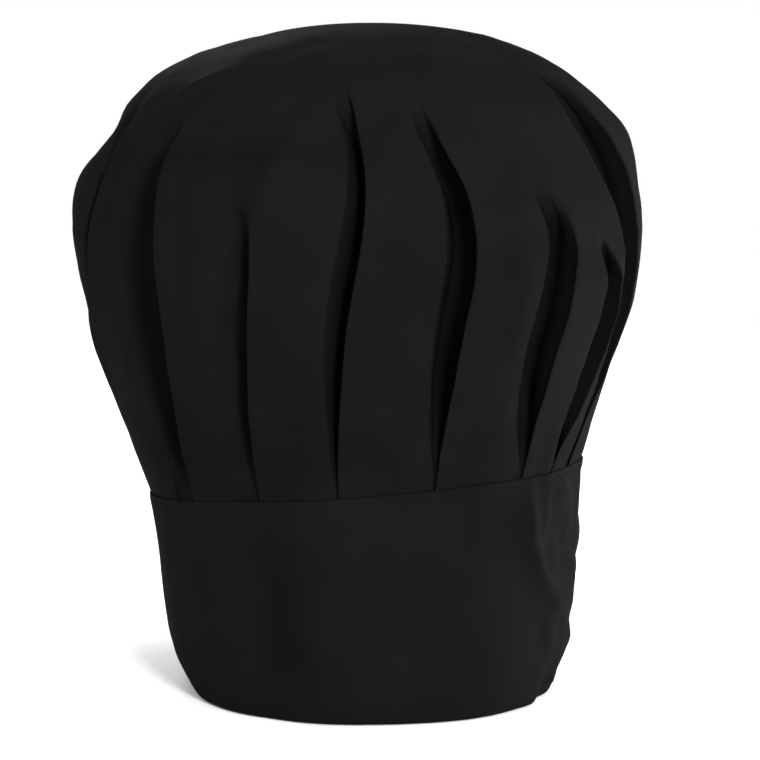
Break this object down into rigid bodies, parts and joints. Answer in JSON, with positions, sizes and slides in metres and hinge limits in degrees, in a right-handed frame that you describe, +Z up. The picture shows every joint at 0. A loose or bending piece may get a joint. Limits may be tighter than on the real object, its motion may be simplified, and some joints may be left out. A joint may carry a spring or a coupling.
{
  "type": "chef toque",
  "caption": "Floppy cook's hat with a pleated mushroom-shaped cloth crown sewn into a tall stiffened band that opens and adjusts at the back with hook and loop.",
  "frame": {"origin": "centre of the head opening, on the plane of the rim", "axes": "+Z up through the crown's top; -Y towards the front; +X towards the wearer's left"},
  "size_m": [0.2572, 0.2512, 0.3],
  "materials": {
    "twill": "matt black polyester-cotton twill",
    "lining": "matt black twill, inner face",
    "interfacing": "off-white non-woven stiffener",
    "hook_tape": "black nylon hook tape",
    "loop_tape": "black brushed nylon loop tape",
    "thread": "black polyester sewing thread",
    "label": "plain blank satin label"
  },
  "bodies": {
    "hat": {"crown_puff": "twill", "back_placket": "twill", "slit_bartack": "thread", "band_outer": "twill", "band_interfacing": "interfacing", "band_inner_facing": "lining", "loop_patch": "loop_tape", "loop_box_stitch": "thread", "seam_topstitch": "thread", "hem_topstitch": "thread", "care_label": "label"},
    "closure_tab": {"tab_outer": "twill", "tab_interfacing": "interfacing", "tab_inner_facing": "lining", "hook_patch": "hook_tape", "tab_box_stitch": "thread"}
  },
  "joints": [
    {"name": "closure_peel", "type": "hinge", "parent": "hat", "child": "closure_tab", "pos_m": [0.0318, 0.0936, 0.0511], "axis": [-0.0099, -0.0496, -0.9987], "range_deg": [0, 120]}
  ]
}
